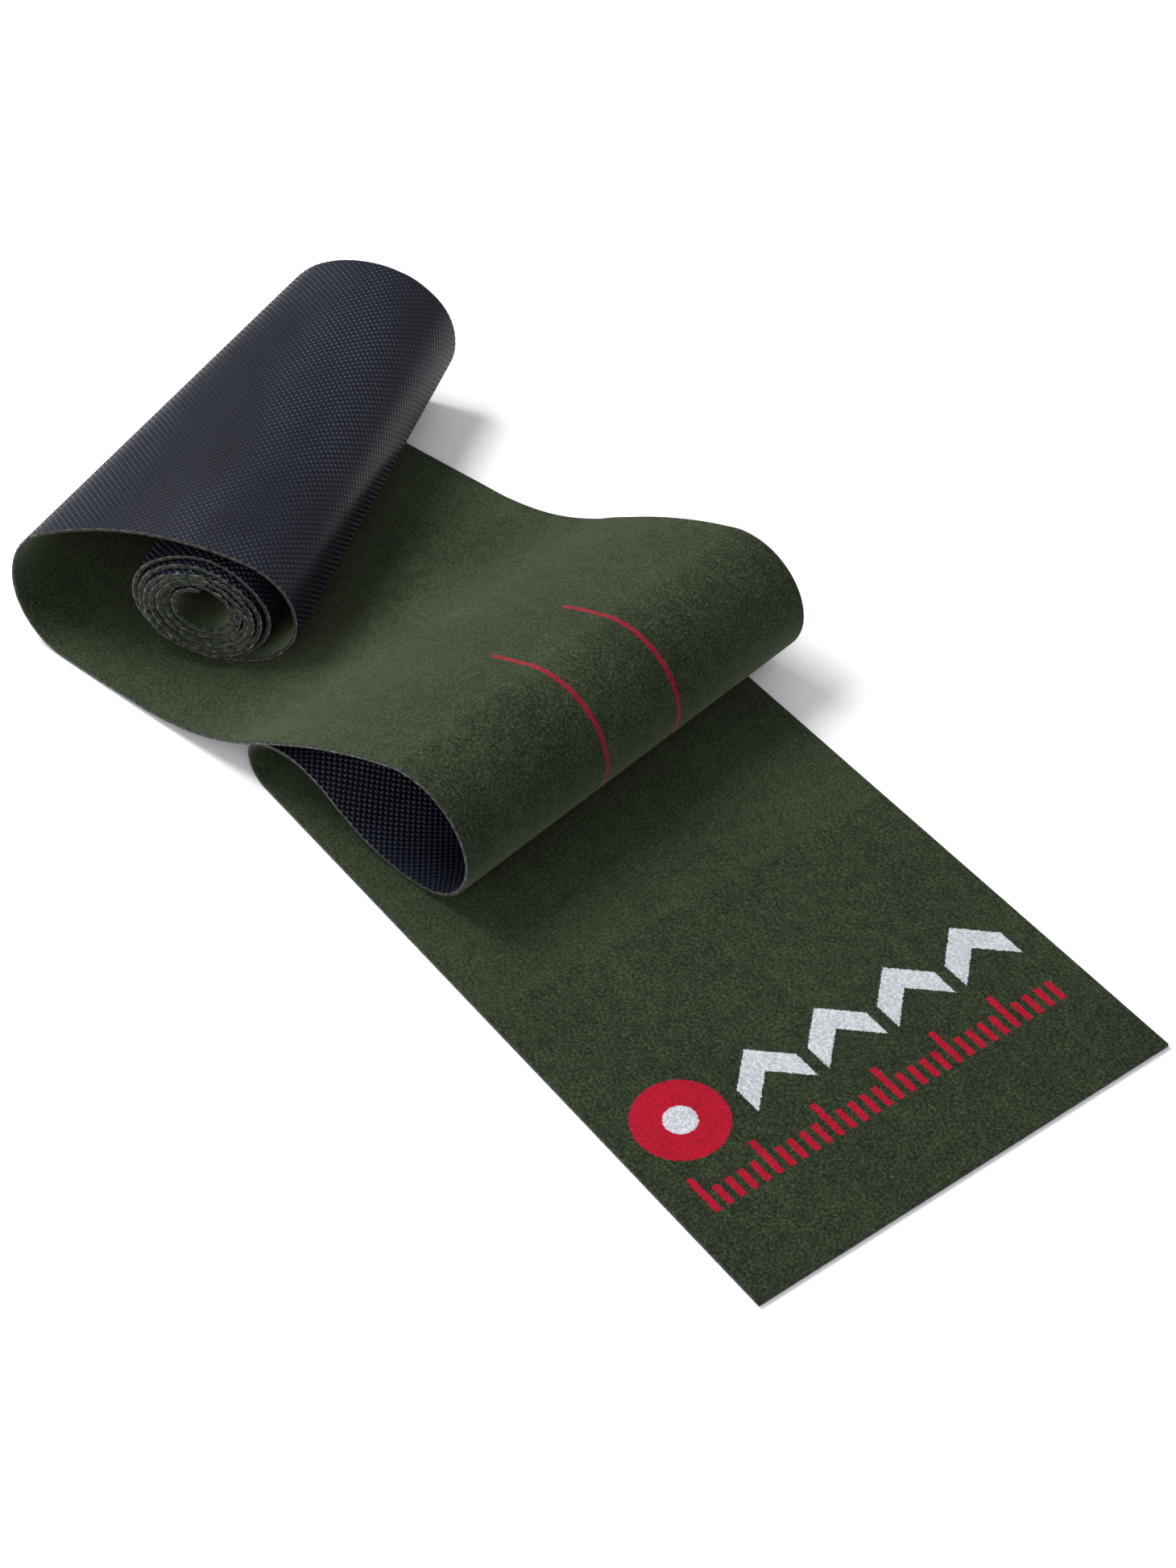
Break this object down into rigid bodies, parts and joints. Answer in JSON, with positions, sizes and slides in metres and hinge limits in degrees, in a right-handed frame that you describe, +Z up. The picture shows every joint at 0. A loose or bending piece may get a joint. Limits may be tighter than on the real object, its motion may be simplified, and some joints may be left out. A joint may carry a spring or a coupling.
{
  "type": "practice putting mat",
  "caption": "Long velour putting mat with an embossed rubber backing, lying part unrolled: flat front, Z fold, loose turn round a tight roll.",
  "frame": {"origin": "on the floor under the middle of the flat front stretch", "axes": "+X along the mat towards its front edge, +Y across the width from the near edge to the far edge, +Z up"},
  "size_m": [1.0952, 0.5016, 0.1459],
  "materials": {
    "pile": "short dense dark green velour, lighter where the fibres lean, with dyed red and white marks",
    "backing": "dark navy rubber embossed with a fine honeycomb of small raised dots"
  },
  "bodies": {
    "front": {"front_backing": "backing", "front_pile": "pile"},
    "fold_1": {"fold_1_backing": "backing", "fold_1_pile": "pile"},
    "fold_2": {"fold_2_backing": "backing", "fold_2_pile": "pile"},
    "fold_3": {"fold_3_backing": "backing", "fold_3_pile": "pile"},
    "return_rise_1": {"return_rise_1_backing": "backing", "return_rise_1_pile": "pile"},
    "return_rise_2": {"return_rise_2_backing": "backing", "return_rise_2_pile": "pile"},
    "return_fall_1": {"return_fall_1_backing": "backing", "return_fall_1_pile": "pile"},
    "return_fall_2": {"return_fall_2_backing": "backing", "return_fall_2_pile": "pile"},
    "nose_1": {"nose_1_backing": "backing", "nose_1_pile": "pile"},
    "nose_2": {"nose_2_backing": "backing", "nose_2_pile": "pile"},
    "nose_3": {"nose_3_backing": "backing", "nose_3_pile": "pile"},
    "nose_4": {"nose_4_backing": "backing", "nose_4_pile": "pile"},
    "nose_5": {"nose_5_backing": "backing", "nose_5_pile": "pile"},
    "hump_1": {"hump_1_backing": "backing", "hump_1_pile": "pile"},
    "hump_2": {"hump_2_backing": "backing", "hump_2_pile": "pile"},
    "hollow_1": {"hollow_1_backing": "backing", "hollow_1_pile": "pile"},
    "hollow_2": {"hollow_2_backing": "backing", "hollow_2_pile": "pile"},
    "floor": {"floor_backing": "backing", "floor_pile": "pile"},
    "rise_1": {"rise_1_backing": "backing", "rise_1_pile": "pile"},
    "rise_2": {"rise_2_backing": "backing", "rise_2_pile": "pile"},
    "rise_3": {"rise_3_backing": "backing", "rise_3_pile": "pile"},
    "rise_4": {"rise_4_backing": "backing", "rise_4_pile": "pile"},
    "top_1": {"top_1_backing": "backing", "top_1_pile": "pile"},
    "top_2": {"top_2_backing": "backing", "top_2_pile": "pile"},
    "corner_1": {"corner_1_backing": "backing", "corner_1_pile": "pile"},
    "corner_2": {"corner_2_backing": "backing", "corner_2_pile": "pile"},
    "corner_3": {"corner_3_backing": "backing", "corner_3_pile": "pile"},
    "under": {"under_backing": "backing", "under_pile": "pile"},
    "roll": {"roll_backing": "backing", "roll_pile": "pile"}
  },
  "joints": [
    {"name": "fold_1_crease", "type": "hinge", "parent": "front", "child": "fold_1", "pos_m": [-0.324, -0.2, 0.002], "axis": [0.0946, -0.9955, 0], "range_deg": [0, 24.44]},
    {"name": "fold_2_crease", "type": "hinge", "parent": "fold_1", "child": "fold_2", "pos_m": [-0.33932, -0.19986, 0.00892], "axis": [0.0895, -0.996, 0.0023], "range_deg": [0, 48.85]},
    {"name": "fold_3_crease", "type": "hinge", "parent": "fold_2", "child": "fold_3", "pos_m": [-0.34427, -0.19876, 0.02495], "axis": [0.0879, -0.9961, 0.0077], "range_deg": [0, 48.85]},
    {"name": "return_rise_1_crease", "type": "hinge", "parent": "fold_3", "child": "return_rise_1", "pos_m": [-0.33554, -0.19648, 0.03914], "axis": [0.0908, -0.9958, 0.0125], "range_deg": [0, 42.06]},
    {"name": "return_rise_2_crease", "type": "hinge", "parent": "return_rise_1", "child": "return_rise_2", "pos_m": [-0.29263, -0.18887, 0.05144], "axis": [0.1119, -0.9935, 0.0185], "range_deg": [0, 35.27]},
    {"name": "return_fall_1_crease", "type": "hinge", "parent": "return_rise_2", "child": "return_fall_1", "pos_m": [-0.25051, -0.18186, 0.03638], "axis": [0.1326, -0.9911, 0.0111], "range_deg": [0, 6.39]},
    {"name": "return_fall_2_crease", "type": "hinge", "parent": "return_fall_1", "child": "return_fall_2", "pos_m": [-0.20021, -0.17348, 0.01174], "axis": [-0.1492, 0.9888, -0.003], "range_deg": [0, 22.52]},
    {"name": "nose_1_crease", "type": "hinge", "parent": "return_fall_2", "child": "nose_1", "pos_m": [-0.14443, -0.16421, 0.00848], "axis": [-0.1676, 0.9859, -0.002], "range_deg": [0, 30.32]},
    {"name": "nose_2_crease", "type": "hinge", "parent": "nose_1", "child": "nose_2", "pos_m": [-0.10872, -0.15825, 0.02694], "axis": [-0.1732, 0.9849, -0.0049], "range_deg": [0, 38.12]},
    {"name": "nose_3_crease", "type": "hinge", "parent": "nose_2", "child": "nose_3", "pos_m": [-0.09183, -0.1555, 0.0638], "axis": [-0.1758, 0.9844, -0.0107], "range_deg": [0, 38.12]},
    {"name": "nose_4_crease", "type": "hinge", "parent": "nose_3", "child": "nose_4", "pos_m": [-0.10092, -0.15737, 0.10337], "axis": [-0.1744, 0.9845, -0.0169], "range_deg": [0, 38.12]},
    {"name": "nose_5_crease", "type": "hinge", "parent": "nose_4", "child": "nose_5", "pos_m": [-0.13206, -0.16339, 0.12878], "axis": [-0.1695, 0.9853, -0.0209], "range_deg": [0, 38.12]},
    {"name": "hump_1_crease", "type": "hinge", "parent": "nose_5", "child": "hump_1", "pos_m": [-0.17189, -0.17143, 0.12923], "axis": [-0.1632, 0.9864, -0.0209], "range_deg": [0, 23.07]},
    {"name": "hump_2_crease", "type": "hinge", "parent": "hump_1", "child": "hump_2", "pos_m": [-0.25274, -0.18874, 0.09515], "axis": [-0.1416, 0.9899, -0.0119], "range_deg": [0, 8.02]},
    {"name": "hollow_1_crease", "type": "hinge", "parent": "hump_2", "child": "hollow_1", "pos_m": [-0.32808, -0.20539, 0.04993], "axis": [0.1214, -0.9926, -0.0001], "range_deg": [0, 4.27]},
    {"name": "fold_open", "type": "hinge", "parent": "hollow_1", "child": "hollow_2", "pos_m": [-0.39189, -0.21925, 0.01787], "axis": [0.1115, -0.9937, -0.005], "range_deg": [0, 16.5]},
    {"name": "floor_crease", "type": "hinge", "parent": "hollow_2", "child": "floor", "pos_m": [-0.46208, -0.23392, 0.00558], "axis": [0.1006, -0.9949, -0.0069], "range_deg": [0, 8.02]},
    {"name": "rise_1_crease", "type": "hinge", "parent": "floor", "child": "rise_1", "pos_m": [-0.55601, -0.25351, 0.00262], "axis": [0.3537, -0.9354, 0.0011], "range_deg": [0, 17.47]},
    {"name": "turn_open", "type": "hinge", "parent": "rise_1", "child": "rise_2", "pos_m": [-0.59206, -0.26073, 0.01403], "axis": [0.3712, -0.9285, -0.0048], "range_deg": [0, 39]},
    {"name": "rise_3_crease", "type": "hinge", "parent": "rise_2", "child": "rise_3", "pos_m": [-0.61394, -0.2624, 0.04565], "axis": [0.3811, -0.9243, -0.0211], "range_deg": [0, 39.02]},
    {"name": "rise_4_crease", "type": "hinge", "parent": "rise_3", "child": "rise_4", "pos_m": [-0.61316, -0.25487, 0.0834], "axis": [0.3792, -0.9244, -0.0403], "range_deg": [0, 39.02]},
    {"name": "top_1_crease", "type": "hinge", "parent": "rise_4", "child": "top_1", "pos_m": [-0.59148, -0.23829, 0.11055], "axis": [0.3664, -0.9289, -0.0541], "range_deg": [0, 30.02]},
    {"name": "top_2_crease", "type": "hinge", "parent": "top_1", "child": "top_2", "pos_m": [-0.51585, -0.18616, 0.13653], "axis": [0.4815, -0.8762, -0.0186], "range_deg": [0, 21.02]},
    {"name": "corner_1_crease", "type": "hinge", "parent": "top_2", "child": "corner_1", "pos_m": [-0.43774, -0.13194, 0.12805], "axis": [0.5946, -0.8035, -0.0307], "range_deg": [0, 35.02]},
    {"name": "corner_2_crease", "type": "hinge", "parent": "corner_1", "child": "corner_2", "pos_m": [-0.40814, -0.11081, 0.09746], "axis": [0.5833, -0.8121, -0.0188], "range_deg": [0, 49.02]},
    {"name": "corner_3_crease", "type": "hinge", "parent": "corner_2", "child": "corner_3", "pos_m": [-0.40764, -0.11019, 0.04994], "axis": [0.5831, -0.8124, -0.0002], "range_deg": [0, 49.02]},
    {"name": "under_crease", "type": "hinge", "parent": "corner_3", "child": "under", "pos_m": [-0.43648, -0.13063, 0.01819], "axis": [0.5942, -0.8042, 0.0122], "range_deg": [0, 33.52]},
    {"name": "roll_crease", "type": "hinge", "parent": "under", "child": "roll", "pos_m": [-0.47509, -0.15791, 0.01117], "axis": [0.5763, -0.8172, 0.009], "range_deg": [0, 9.02]}
  ],
  "couplings": [
    {"joint": "fold_1_crease", "follows": "fold_open", "ratio": 1.4798},
    {"joint": "fold_2_crease", "follows": "fold_open", "ratio": 2.9596},
    {"joint": "fold_3_crease", "follows": "fold_open", "ratio": 2.9596},
    {"joint": "return_rise_1_crease", "follows": "fold_open", "ratio": 2.548},
    {"joint": "return_rise_2_crease", "follows": "fold_open", "ratio": 2.1364},
    {"joint": "return_fall_1_crease", "follows": "fold_open", "ratio": 0.38636},
    {"joint": "return_fall_2_crease", "follows": "fold_open", "ratio": 1.3636},
    {"joint": "nose_1_crease", "follows": "fold_open", "ratio": 1.8364},
    {"joint": "nose_2_crease", "follows": "fold_open", "ratio": 2.3091},
    {"joint": "nose_3_crease", "follows": "fold_open", "ratio": 2.3091},
    {"joint": "nose_4_crease", "follows": "fold_open", "ratio": 2.3091},
    {"joint": "nose_5_crease", "follows": "fold_open", "ratio": 2.3091},
    {"joint": "hump_1_crease", "follows": "fold_open", "ratio": 1.397},
    {"joint": "hump_2_crease", "follows": "fold_open", "ratio": 0.48485},
    {"joint": "hollow_1_crease", "follows": "fold_open", "ratio": 0.25758},
    {"joint": "floor_crease", "follows": "fold_open", "ratio": 0.48485},
    {"joint": "rise_1_crease", "follows": "turn_open", "ratio": 0.44744},
    {"joint": "rise_3_crease", "follows": "turn_open", "ratio": 1},
    {"joint": "rise_4_crease", "follows": "turn_open", "ratio": 1},
    {"joint": "top_1_crease", "follows": "turn_open", "ratio": 0.76923},
    {"joint": "top_2_crease", "follows": "turn_open", "ratio": 0.53846},
    {"joint": "corner_1_crease", "follows": "turn_open", "ratio": 0.89744},
    {"joint": "corner_2_crease", "follows": "turn_open", "ratio": 1.2564},
    {"joint": "corner_3_crease", "follows": "turn_open", "ratio": 1.2564},
    {"joint": "under_crease", "follows": "turn_open", "ratio": 0.85897},
    {"joint": "roll_crease", "follows": "turn_open", "ratio": 0.23077}
  ]
}
